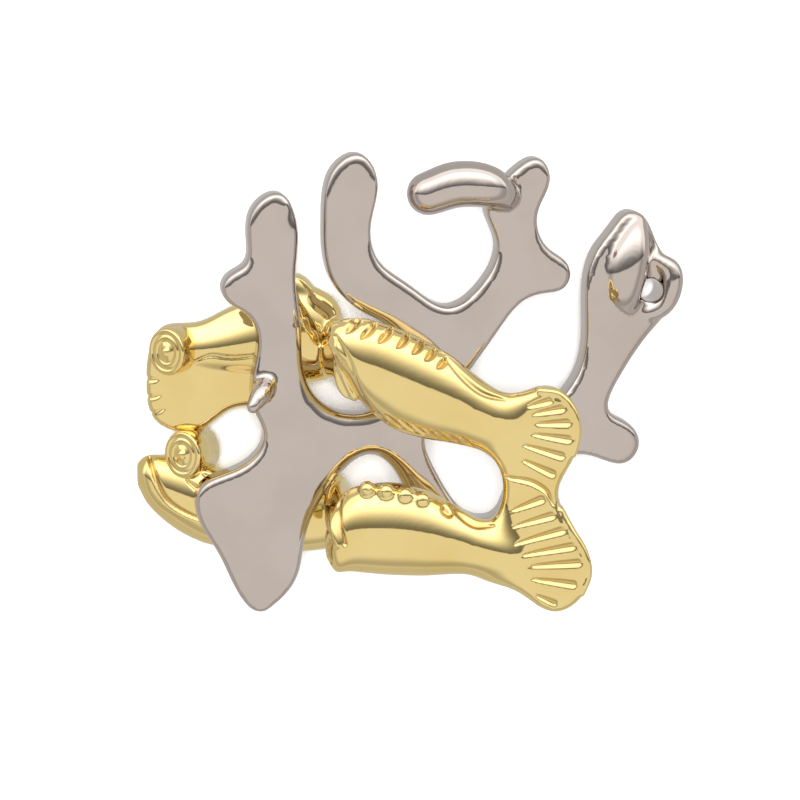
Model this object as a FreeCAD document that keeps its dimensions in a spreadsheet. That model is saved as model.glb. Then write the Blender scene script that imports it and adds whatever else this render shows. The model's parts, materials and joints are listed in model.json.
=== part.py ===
"""Metal disentanglement puzzle: a gold ring of two fish linked through a silver coral.

Both castings are drawn in one puzzle frame, in millimetres: x runs along the ring towards the tails,
y up the coral, z out of the coral's front face. They are then laid on their backs on the table, so
that in the finished part +Z is up and the origin is the middle of the footprint.
"""
import FreeCAD, Part
import math
import os

from FreeCAD import Placement, Rotation, Vector

SIZES = {
    # coral casting
    "coral_thickness": 3.8,
    "coral_bend_radius": 90.0,
    "coral_bevel": 0.8,
    "arm_radius": 2.5,
    "thorn_base": 1.9,
    "thorn_tip": 0.9,
    "thorn_length": 3.4,
    "claw_ring": 2.5,
    "claw_wire": 1.35,
    "claw_hole": 1.3,
    "claw_rise": 1.6,
    # fish ring casting
    "tail_thickness": 3.0,
    "tail_lean": 11.0,
    "tail_rise": 9.6,
    "tail_pivot": 12.0,
    "cheek_thickness": 3.6,
    "cheek_lean": 9.5,
    "cheek_depth": 8.2,
    "cheek_pivot": -17.0,
    "neck_half_width": 1.8,
    "neck_half_height": 3.6,
    "neck_reach": 7.0,
    "eye_radius": 2.3,
    "eye_turret": 4.4,
    "eye_turn": 36.0,
    "eye_ball_share": 0.55,
    # how the puzzle lies
    "table_tilt": 3.8,
}

# How far cutting tools and blanks run past the metal, so that they cut it clean through.
SHEET_REACH = 40.0
HOLE_REACH = 10.0
BLANK_LAYERS = 6

# The coral's outline, one closed curve. Each stretch names the limb that it goes round.
FOOT_RIGHT = [(-16.0, -23.5), (-13.4, -22.2), (-11.3, -19.0), (-10.7, -15.5), (-9.6, -12.2)]
ARCH = [(-6.4, -7.6), (-3.3, -5.8), (-1.0, -7.4)]
LEG_BELOW = [(0.6, -10.5), (4.0, -15.0), (8.2, -17.0), (12.2, -16.2), (15.2, -13.4), (16.8, -9.6)]
STUB = [(19.8, -7.0), (23.6, -7.9), (26.3, -8.4), (27.9, -6.6), (26.6, -3.9), (24.1, -2.3)]
BRANCH_RIGHT = [(25.5, 1.8), (29.2, 6.5), (32.0, 9.6), (32.7, 12.8), (30.9, 14.8), (29.4, 17.2)]
PEAK = [(27.8, 19.8), (26.2, 20.2), (24.2, 18.4), (22.2, 16.0)]
BRANCH_LEFT = [(21.1, 12.4), (21.1, 7.0), (20.2, 2.4), (16.6, -2.0), (14.0, -5.8), (12.2, -10.0)]
BAY_BOTTOM = [(10.4, -13.3), (7.8, -13.0), (5.4, -10.6)]
BAY_LEFT = [(3.6, -7.4), (2.6, -4.2), (4.6, -0.6), (8.4, 4.2), (11.2, 8.0), (14.2, 11.0)]
KNOB = [(17.0, 11.9), (18.9, 13.2), (18.4, 15.2), (16.2, 17.2), (15.5, 20.6)]
HORN = [(16.8, 24.6), (15.4, 26.6), (13.2, 25.8), (11.0, 23.8), (9.4, 21.6)]
HOOK_BAY = [(10.6, 17.6), (9.0, 13.0), (5.2, 10.5), (0.8, 13.0), (-2.6, 15.8), (-3.4, 19.4)]
PRONG = [(-2.7, 25.0), (-4.7, 27.5), (-6.9, 26.6), (-8.6, 20.5), (-7.8, 13.8), (-4.6, 10.2)]
POCKET = [(-1.2, 8.0), (0.2, 4.4), (-1.4, 0.5), (-5.3, -1.1), (-9.2, 0.5), (-10.8, 4.4)]
TRUNK_RIGHT = [(-10.9, 8.2), (-11.5, 14.0), (-11.4, 20.4)]
TRUNK_TOP = [(-13.4, 23.3), (-16.0, 21.8)]
TRUNK_LEFT = [(-16.6, 17.2), (-19.4, 12.9), (-16.2, 9.0), (-16.2, 3.6), (-16.2, -0.6)]
FOOT_LEFT = [(-15.1, -3.4), (-17.4, -6.9), (-22.3, -9.7), (-22.6, -11.8), (-20.2, -16.8), (-17.8, -21.8)]
CORAL_OUTLINE = (
    FOOT_RIGHT + ARCH + LEG_BELOW + STUB + BRANCH_RIGHT + PEAK + BRANCH_LEFT + BAY_BOTTOM
    + BAY_LEFT + KNOB + HORN + HOOK_BAY + PRONG + POCKET + TRUNK_RIGHT + TRUNK_TOP + TRUNK_LEFT + FOOT_LEFT
)

# The two tail fans, joined at their waist, and the window edge beside them.
TAIL_OUTLINE = [
    (6.0, 4.6), (8.6, 2.7), (11.2, 2.2), (14.6, 2.9), (16.8, 1.8), (18.1, -1.6), (17.4, -5.0),
    (15.8, -8.6), (17.2, -12.2), (19.3, -16.2), (18.9, -19.6), (15.8, -22.0), (11.0, -19.8), (6.5, -18.0),
    (6.0, -14.0), (8.4, -12.0), (9.7, -9.0), (8.8, -5.4), (6.0, -3.3), (5.0, 0.6),
]

# The upper fish's cheek and the flat fin below it, which joins the two heads.
CHEEK_OUTLINE = [
    (-7.6, 8.2), (-8.6, 12.0), (-10.4, 13.4), (-14.2, 11.2), (-18.3, 9.4), (-21.9, 7.8), (-25.5, 7.4),
    (-26.9, 5.0), (-27.3, 0.8), (-26.5, -3.0), (-23.8, -4.5), (-20.7, -4.0), (-17.8, -1.9), (-13.0, -1.4),
    (-9.0, 1.6),
]

# Lofted limbs: each section is an ellipse across the x axis, (x, y, z, half height, half depth).
UPPER_FISH = [
    (-8.0, 6.2, 6.6, 1.6, 0.9), (-6.8, 5.4, 6.6, 4.4, 2.8), (-4.0, 4.4, 6.9, 5.9, 3.4),
    (0.0, 3.1, 7.6, 5.9, 3.5), (4.0, 1.6, 8.3, 5.0, 3.1), (8.0, -0.4, 9.1, 4.0, 2.5),
    (12.0, -1.6, 9.9, 2.2, 1.1),
]
LOWER_FISH = [
    (-7.9, -13.0, 6.5, 1.6, 0.9), (-6.6, -12.9, 6.5, 4.2, 2.8), (-3.0, -12.9, 7.0, 5.1, 3.4),
    (1.0, -13.2, 7.7, 4.9, 3.5), (5.0, -14.1, 8.5, 3.8, 3.0), (9.0, -15.4, 9.3, 3.0, 2.4),
    (13.0, -16.4, 10.1, 1.8, 1.1),
]
UPPER_HEAD = [
    (-5.0, 6.0, -6.6, 1.4, 0.8), (-6.4, 6.2, -6.7, 4.4, 2.4), (-10.0, 6.6, -6.9, 5.6, 2.9),
    (-15.5, 5.8, -7.5, 4.1, 2.7), (-21.0, 5.0, -8.4, 2.7, 2.2), (-26.0, 4.8, -9.2, 1.7, 1.3),
]
LOWER_HEAD = [
    (-4.4, -13.2, -6.6, 1.4, 0.8), (-5.8, -13.3, -6.7, 4.0, 2.4), (-10.5, -13.9, -7.0, 4.4, 2.8),
    (-16.0, -13.7, -7.5, 4.2, 3.0), (-21.3, -12.2, -8.0, 4.6, 3.1), (-25.4, -10.9, -8.9, 3.4, 2.5),
    (-28.5, -10.3, -9.4, 1.4, 1.0),
]

UPPER_NECK = (-6.5, 5.0)
LOWER_NECK = (-5.8, -13.4)
UPPER_EYE = (-23.6, 4.8, -10.4)
LOWER_EYE = (-21.8, -6.9, -10.2)
ARM_PATH = [(10.2, 23.3, 2.2), (6.0, 24.2, 1.9), (2.7, 23.0, 1.4)]
THORN_FOOT = (-15.3, 0.9, 1.0)
THORN_AXIS = (-0.36, -0.30, 0.88)
CLAW = (29.3, 12.2)


def make_sheet(doc):
    """The spreadsheet of driving dimensions, each cell with its alias."""
    sheet = doc.addObject("Spreadsheet::Sheet", "sizes")
    for row, (alias, value) in enumerate(SIZES.items(), start=1):
        sheet.set(f"A{row}", alias)
        sheet.set(f"B{row}", str(value))
        sheet.setAlias(f"B{row}", alias)
    doc.recompute()
    return sheet


def origin_plane(body, role):
    """One of a body's own origin planes, by its role."""
    return next(f for f in body.Origin.OriginFeatures if f.Role == role)


def closed_curves(points, pieces=6):
    """A smooth closed curve through points in a sketch's plane, as a chain of pieces."""
    whole = Part.BSplineCurve()
    whole.interpolate([Vector(x, y, 0) for x, y in points], PeriodicFlag=True)
    span = whole.LastParameter - whole.FirstParameter
    knots = [whole.FirstParameter + span * i / pieces for i in range(pieces + 1)]
    chain = []
    for start, end in zip(knots, knots[1:]):
        piece = whole.copy()
        piece.segment(start, end)
        chain.append(piece)
    return chain


def ellipse(centre, across, along):
    """An ellipse with one half axis along the sketch's x and the other along its y."""
    middle = Vector(*centre, 0)
    on_x = middle + Vector(across, 0, 0)
    on_y = middle + Vector(0, along, 0)
    if across >= along:
        return Part.Ellipse(on_x, on_y, middle)
    return Part.Ellipse(on_y, on_x, middle)


def sketch_on(body, name, role, curves, offset=0.0):
    """A sketch that holds one closed outline, at an offset along the normal of an origin plane."""
    sketch = body.newObject("Sketcher::SketchObject", name)
    sketch.AttachmentSupport = [(origin_plane(body, role), "")]
    sketch.MapMode = "FlatFace"
    sketch.AttachmentOffset = Placement(Vector(0, 0, offset), Rotation())
    sketch.addGeometry(curves, False)
    return sketch


def padded_plate(doc, name, points, thickness):
    """A flat plate of a closed outline, half of its thickness on each side of the plane z = 0."""
    body = doc.addObject("PartDesign::Body", name)
    sketch = sketch_on(body, name + "_outline", "XY_Plane", closed_curves(points))
    pad = body.newObject("PartDesign::Pad", name + "_pad")
    pad.Profile = sketch
    pad.Midplane = True
    pad.setExpression("Length", thickness)
    doc.recompute()
    return body


def lofted_limb(doc, name, sections):
    """A limb lofted through ellipses that lie across the x axis."""
    body = doc.addObject("PartDesign::Body", name)
    sketches = [
        sketch_on(body, f"{name}_section_{i}", "YZ_Plane", ellipse((y, z), half_height, half_depth), x)
        for i, (x, y, z, half_height, half_depth) in enumerate(sections, start=1)
    ]
    loft = body.newObject("PartDesign::AdditiveLoft", name + "_loft")
    loft.Profile = sketches[0]
    loft.Sections = sketches[1:]
    doc.recompute()
    return body


def neck(doc, name, centre):
    """An elliptical bar through the coral, from the back of a fish's body to its head."""
    body = doc.addObject("PartDesign::Body", name)
    curve = ellipse(centre, SIZES["neck_half_width"], SIZES["neck_half_height"])
    sketch = sketch_on(body, name + "_section", "XY_Plane", curve)
    pad = body.newObject("PartDesign::Pad", name + "_pad")
    pad.Profile = sketch
    pad.Midplane = True
    pad.setExpression("Length", "2 * sizes.neck_reach")
    doc.recompute()
    return body


def eye(doc, name, centre):
    """A raised eye: a short turret and the ball that crowns it, turned away from the body."""
    turn = Rotation(Vector(0, 1, 0), -SIZES["eye_turn"])
    turret = doc.addObject("Part::Cylinder", name + "_turret")
    turret.setExpression("Radius", "sizes.eye_radius")
    turret.setExpression("Height", "sizes.eye_turret")
    turret.Placement = Placement(Vector(*centre), turn)
    rise = SIZES["eye_turret"] - SIZES["eye_radius"] / 3
    crown = Vector(*centre) + turn.multVec(Vector(0, 0, rise))
    ball = doc.addObject("Part::Sphere", name + "_ball")
    ball.setExpression("Radius", "sizes.eye_ball_share * sizes.eye_radius")
    ball.Placement = Placement(crown, Rotation())
    return [turret, ball]


def rounded_bar(doc, name, path, radius):
    """A round bar along a curve through the path's points, with a ball at each end."""
    points = [Vector(*p) for p in path]
    spine = Part.Arc(*points).toShape()
    start = Part.Circle(points[0], spine.tangentAt(spine.FirstParameter), radius).toShape()
    pipe = Part.Wire([spine]).makePipeShell([Part.Wire([start])], True, True)
    bar = doc.addObject("Part::Feature", name)
    bar.Shape = pipe
    balls = []
    for end, point in zip(("root", "tip"), (points[0], points[-1])):
        ball = doc.addObject("Part::Sphere", f"{name}_{end}")
        ball.setExpression("Radius", "sizes.arm_radius")
        ball.Placement = Placement(point, Rotation())
        balls.append(ball)
    return [bar, *balls]


def bent_height(x):
    """How far the coral's middle surface has bent back at x."""
    radius = SIZES["coral_bend_radius"]
    return math.sqrt(radius ** 2 - x ** 2) - radius


def fused(doc, name, parts):
    """One casting out of its overlapping parts."""
    casting = doc.addObject("Part::MultiFuse", name)
    casting.Shapes = parts
    casting.Refine = False
    doc.recompute()
    return casting


def coral_slab(doc):
    """The bent sheet of metal that the outline is cut from, as a band between two arcs."""
    radius = SIZES["coral_bend_radius"]
    half = SIZES["coral_thickness"] / 2
    body = doc.addObject("PartDesign::Body", "coral_sheet")
    sketch = body.newObject("Sketcher::SketchObject", "coral_sheet_section")
    sketch.AttachmentSupport = [(origin_plane(body, "XZ_Plane"), "")]
    sketch.MapMode = "FlatFace"
    centre = Vector(0, -radius, 0)
    corners = []
    for level in (radius + half, radius - half):
        lean = math.asin(SHEET_REACH / level)
        circle = Part.Circle(centre, Vector(0, 0, 1), level)
        arc = Part.ArcOfCircle(circle, math.pi / 2 - lean, math.pi / 2 + lean)
        sketch.addGeometry(arc, False)
        corners.append((arc.StartPoint, arc.EndPoint))
    for end in (0, 1):
        sketch.addGeometry(Part.LineSegment(corners[0][end], corners[1][end]), False)
    pad = body.newObject("PartDesign::Pad", "coral_sheet_pad")
    pad.Profile = sketch
    pad.Midplane = True
    pad.Length = 2 * SHEET_REACH
    doc.recompute()
    return body


def make_coral(doc):
    """The silver coral: a bent branching plate with a hooked arm, a thorn and a pierced claw."""
    blank = padded_plate(doc, "coral_blank", CORAL_OUTLINE, f"{BLANK_LAYERS} * sizes.coral_thickness")
    plate = doc.addObject("Part::Common", "coral_plate")
    plate.Base = blank
    plate.Tool = coral_slab(doc)
    doc.recompute()
    rim = doc.addObject("Part::Chamfer", "coral_rim")
    rim.Base = plate
    bevel = SIZES["coral_bevel"]
    wall = 2 * SIZES["coral_thickness"]
    edges = enumerate(plate.Shape.Edges, start=1)
    rim.Edges = [(i, bevel, bevel) for i, edge in edges if edge.Length > wall]
    doc.recompute()
    arm = rounded_bar(doc, "coral_arm", ARM_PATH, SIZES["arm_radius"])
    thorn = doc.addObject("Part::Cone", "thorn")
    thorn.setExpression("Radius1", "sizes.thorn_base")
    thorn.setExpression("Radius2", "sizes.thorn_tip")
    thorn.setExpression("Height", "sizes.thorn_length")
    lean = Rotation(Vector(0, 0, 1), Vector(*THORN_AXIS))
    thorn.Placement = Placement(Vector(*THORN_FOOT), lean)
    cap = doc.addObject("Part::Sphere", "thorn_cap")
    cap.setExpression("Radius", "sizes.thorn_tip")
    thorn_top = Vector(*THORN_FOOT) + lean.multVec(Vector(0, 0, SIZES["thorn_length"]))
    cap.Placement = Placement(thorn_top, Rotation())
    claw_lean = Rotation(Vector(0, 1, 0), math.degrees(math.asin(CLAW[0] / SIZES["coral_bend_radius"])))
    claw_middle = Vector(*CLAW, bent_height(CLAW[0]))
    rise = Vector(0, 0, SIZES["claw_rise"])
    claw = doc.addObject("Part::Torus", "claw")
    claw.setExpression("Radius1", "sizes.claw_ring")
    claw.setExpression("Radius2", "sizes.claw_wire")
    claw.Placement = Placement(claw_middle + claw_lean.multVec(rise), claw_lean)
    solid = fused(doc, "coral_solid", [rim, *arm, thorn, cap, claw])
    hole = doc.addObject("Part::Cylinder", "claw_hole")
    hole.setExpression("Radius", "sizes.claw_hole")
    hole.Height = 2 * HOLE_REACH
    hole.Placement = Placement(claw_middle - claw_lean.multVec(Vector(0, 0, HOLE_REACH)), claw_lean)
    coral = doc.addObject("Part::Cut", "coral")
    coral.Base = solid
    coral.Tool = hole
    coral.Label = "coral"
    doc.recompute()
    return coral


def make_fish_ring(doc):
    """The gold ring: two fish joined at their tails in front of the coral and by a fin behind it."""
    tails = padded_plate(doc, "tail_fans", TAIL_OUTLINE, "sizes.tail_thickness")
    lean = Rotation(Vector(0, 1, 0), -SIZES["tail_lean"])
    pivot = Vector(SIZES["tail_pivot"], 0, 0)
    tails.Placement = Placement(pivot - lean.multVec(pivot) + Vector(0, 0, SIZES["tail_rise"]), lean)
    cheek = padded_plate(doc, "cheek_fin", CHEEK_OUTLINE, "sizes.cheek_thickness")
    lean = Rotation(Vector(0, 1, 0), -SIZES["cheek_lean"])
    pivot = Vector(SIZES["cheek_pivot"], 0, 0)
    cheek.Placement = Placement(pivot - lean.multVec(pivot) - Vector(0, 0, SIZES["cheek_depth"]), lean)
    parts = [tails, cheek]
    parts.append(lofted_limb(doc, "upper_fish", UPPER_FISH))
    parts.append(lofted_limb(doc, "lower_fish", LOWER_FISH))
    parts.append(lofted_limb(doc, "upper_head", UPPER_HEAD))
    parts.append(lofted_limb(doc, "lower_head", LOWER_HEAD))
    parts.append(neck(doc, "upper_neck", UPPER_NECK))
    parts.append(neck(doc, "lower_neck", LOWER_NECK))
    parts += eye(doc, "upper_eye", UPPER_EYE)
    parts += eye(doc, "lower_eye", LOWER_EYE)
    ring = fused(doc, "fish_ring", parts)
    ring.Label = "fish_ring"
    return ring


def lay_down(castings):
    """Lay both castings on the table together, with the middle of their footprint at the origin."""
    tilt = Rotation(Vector(0, 1, 0), SIZES["table_tilt"])
    for casting in castings:
        casting.Placement = Placement(Vector(), tilt)
    boxes = [casting.Shape.optimalBoundingBox() for casting in castings]
    low = Vector(min(b.XMin for b in boxes), min(b.YMin for b in boxes), min(b.ZMin for b in boxes))
    high = Vector(max(b.XMax for b in boxes), max(b.YMax for b in boxes), max(b.ZMax for b in boxes))
    shift = Vector(-(low.x + high.x) / 2, -(low.y + high.y) / 2, -low.z)
    for casting in castings:
        casting.Placement = Placement(shift, tilt)
    return shift, boxes


def check(doc):
    """Stop if any object failed."""
    for item in doc.Objects:
        if "Invalid" in item.State or "Error" in item.State:
            raise RuntimeError(f"{item.Name} failed: {item.State}")


def write(castings):
    """Check each casting, then write it to its own file."""
    for casting in castings:
        shape = casting.Shape
        if shape.isNull() or not shape.isValid() or len(shape.Solids) != 1:
            raise RuntimeError(f"{casting.Label} isn't one valid solid: {len(shape.Solids)} solids")
    os.makedirs("parts", exist_ok=True)
    for casting in castings:
        casting.Shape.exportStep(f"parts/{casting.Label}.step")


def main():
    """Build, lay down, check and write the puzzle."""
    doc = FreeCAD.newDocument("fish_and_coral_puzzle")
    make_sheet(doc)
    castings = [make_fish_ring(doc), make_coral(doc)]
    doc.recompute()
    check(doc)
    shift, boxes = lay_down(castings)
    for casting, box in zip(castings, boxes):
        volume = casting.Shape.Volume
        print(f"{casting.Label}: {volume:.0f} mm3, lowest {box.ZMin + shift.z:.2f} mm")
    print("laid down by", [round(v, 3) for v in shift])
    write(castings)


main()
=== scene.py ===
"""Studio scene of a metal disentanglement puzzle: a gold fish ring linked through a silver coral.

Both castings are modelled in the puzzle's own frame in millimetres: x runs along the ring towards the
tails, y up the coral and z out of the coral's front face. Each finished casting is then laid on the
table, in metres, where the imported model's swing line says that it lies.
"""
import json
import logging
import math
from collections.abc import Callable, Sequence
from dataclasses import dataclass
from enum import Enum

import bpy
import numpy as np
from mathutils import Matrix, Vector


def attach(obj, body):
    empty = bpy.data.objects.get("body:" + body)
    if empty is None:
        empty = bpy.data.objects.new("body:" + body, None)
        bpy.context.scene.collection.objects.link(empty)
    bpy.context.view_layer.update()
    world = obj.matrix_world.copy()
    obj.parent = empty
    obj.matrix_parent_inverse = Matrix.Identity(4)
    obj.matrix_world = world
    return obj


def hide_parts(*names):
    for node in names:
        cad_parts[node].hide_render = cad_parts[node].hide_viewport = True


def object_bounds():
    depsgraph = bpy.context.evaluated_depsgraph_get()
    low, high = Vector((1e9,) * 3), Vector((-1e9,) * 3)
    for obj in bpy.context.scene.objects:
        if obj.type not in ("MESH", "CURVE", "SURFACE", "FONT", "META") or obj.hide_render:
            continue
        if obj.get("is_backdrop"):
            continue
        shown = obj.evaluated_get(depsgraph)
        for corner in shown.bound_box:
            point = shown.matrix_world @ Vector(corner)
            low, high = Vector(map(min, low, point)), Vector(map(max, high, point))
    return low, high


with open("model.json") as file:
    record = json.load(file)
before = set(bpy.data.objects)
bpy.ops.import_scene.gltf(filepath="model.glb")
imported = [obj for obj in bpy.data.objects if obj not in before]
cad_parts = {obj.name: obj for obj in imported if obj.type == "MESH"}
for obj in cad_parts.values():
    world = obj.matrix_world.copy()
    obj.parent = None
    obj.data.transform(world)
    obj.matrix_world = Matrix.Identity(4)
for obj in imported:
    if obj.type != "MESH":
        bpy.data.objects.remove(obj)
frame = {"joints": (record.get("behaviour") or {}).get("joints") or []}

LOG = logging.getLogger("puzzle")
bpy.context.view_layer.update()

MM = 0.001
TABLE_TILT = math.radians(3.8)
SWING_LINE = Vector((-6.2, 0.0, 0.0))
MOST_TRIANGLES = 186000
MERGE_GAP = 0.001
RIM_POINTS = 40
LINE_TIP = 0.02
DRILL_LENGTH = 20
DRILL_MIDDLE = -5.0

Point2 = tuple[float, float]
Point3 = tuple[float, float, float]
Colour = tuple[float, float, float, float]
Line2 = tuple[Point2, ...]
Line3 = tuple[Point3, ...]
Numbers = tuple[float, ...]
Sections = tuple[Numbers, ...]
Sockets = dict[int | str, object]


class Side(Enum):
    """Which faces of a casting a worked detail is cut into."""

    FRONT = "only the faces that look out of the front"
    BOTH = "every face that it crosses"


class Ends(Enum):
    """How a worked line ends."""

    ROUND = "the same width all along"
    LEAF = "pointed at both ends"
    WEDGE = "pointed where it starts and widest where it ends"


def laid_down() -> Matrix:
    """The placement that takes a casting from the puzzle's frame to the table.

    Returns:
        A matrix that tilts, scales from millimetres to metres and moves.
    """
    joint = frame["joints"][0]
    tilt = Matrix.Rotation(TABLE_TILT, 4, "Y")
    foot = Vector(joint["pos_m"]) - MM * (tilt @ SWING_LINE)
    return Matrix.Translation(foot) @ tilt @ Matrix.Scale(MM, 4)


# -------------------- curves


def smooth_loop(points: Sequence[Point2], count: int) -> np.ndarray:
    """A smooth closed curve through points.

    Args:
        points: The points that the curve passes through, in order.
        count: How many points to give along the whole curve.

    Returns:
        An array of count x 2 coordinates.
    """
    knots = np.array(points, float)
    after = np.roll(knots, -1, axis=0)
    gaps = np.linalg.norm(after - knots, axis=1)
    before = np.roll(gaps, 1)
    size = len(knots)
    system = np.zeros((size, size))
    rows = np.arange(size)
    system[rows, rows] = 2 * (gaps + before)
    system[rows, (rows - 1) % size] = gaps
    system[rows, (rows + 1) % size] = before
    rise = (after - knots) / gaps[:, None]
    pull = 3 * (gaps[:, None] * np.roll(rise, 1, axis=0) + before[:, None] * rise)
    slopes = np.linalg.solve(system, pull)
    ends = np.concatenate([[0.0], np.cumsum(gaps)])
    along = np.linspace(0, ends[-1], count, endpoint=False)
    span = np.clip(np.searchsorted(ends, along, side="right") - 1, 0, size - 1)
    width = gaps[span]
    part = (along - ends[span]) / width
    arrive = np.roll(slopes, -1, axis=0)
    return hermite(knots[span], after[span], slopes[span], arrive[span], part, width)


def hermite(
    start: np.ndarray,
    end: np.ndarray,
    leave: np.ndarray,
    arrive: np.ndarray,
    part: np.ndarray,
    width: np.ndarray,
) -> np.ndarray:
    """Points on cubic spans.

    Args:
        start: Where each span starts.
        end: Where each span ends.
        leave: The slope at each start.
        arrive: The slope at each end.
        part: How far along its span each point is, from 0 to 1.
        width: The length of each span.

    Returns:
        The points, one row each.
    """
    t = part[:, None]
    w = width[:, None]
    return (
        (2 * t**3 - 3 * t**2 + 1) * start
        + (t**3 - 2 * t**2 + t) * w * leave
        + (3 * t**2 - 2 * t**3) * end
        + (t**3 - t**2) * w * arrive
    )


def smooth_path(points: Sequence[Sequence[float]], count: int) -> np.ndarray:
    """A smooth open curve through points.

    Args:
        points: The points that the curve passes through, in order.
        count: How many points to give along the curve.

    Returns:
        An array with one row for each point.
    """
    knots = np.array(points, float)
    if len(knots) == 2:
        share = np.linspace(0, 1, count)[:, None]
        return knots[0] * (1 - share) + knots[1] * share
    gaps = np.linalg.norm(np.diff(knots, axis=0), axis=1)
    ends = np.concatenate([[0.0], np.cumsum(gaps)])
    slopes = np.gradient(knots, ends, axis=0)
    along = np.linspace(0, ends[-1], count)
    span = np.clip(np.searchsorted(ends, along, side="right") - 1, 0, len(gaps) - 1)
    part = (along - ends[span]) / gaps[span]
    return hermite(knots[span], knots[span + 1], slopes[span], slopes[span + 1], part, gaps[span])


def gap_to(route: np.ndarray, flat: np.ndarray) -> tuple[np.ndarray, np.ndarray]:
    """How far points are from a line, and where along it they are nearest.

    Args:
        route: Points along the line, close together.
        flat: The points to measure, as x and y.

    Returns:
        Each point's distance, and its place along the line from 0 to 1.
    """
    starts, steps = route[:-1], np.diff(route, axis=0)
    apart = flat[:, None, :] - starts[None, :, :]
    share = np.clip((apart * steps).sum(2) / (steps**2).sum(1), 0, 1)
    gap = np.linalg.norm(apart - share[:, :, None] * steps, axis=2)
    best = gap.argmin(1)
    rows = np.arange(len(flat))
    return gap[rows, best], (best + share[rows, best]) / len(steps)


# -------------------- workshop


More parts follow.
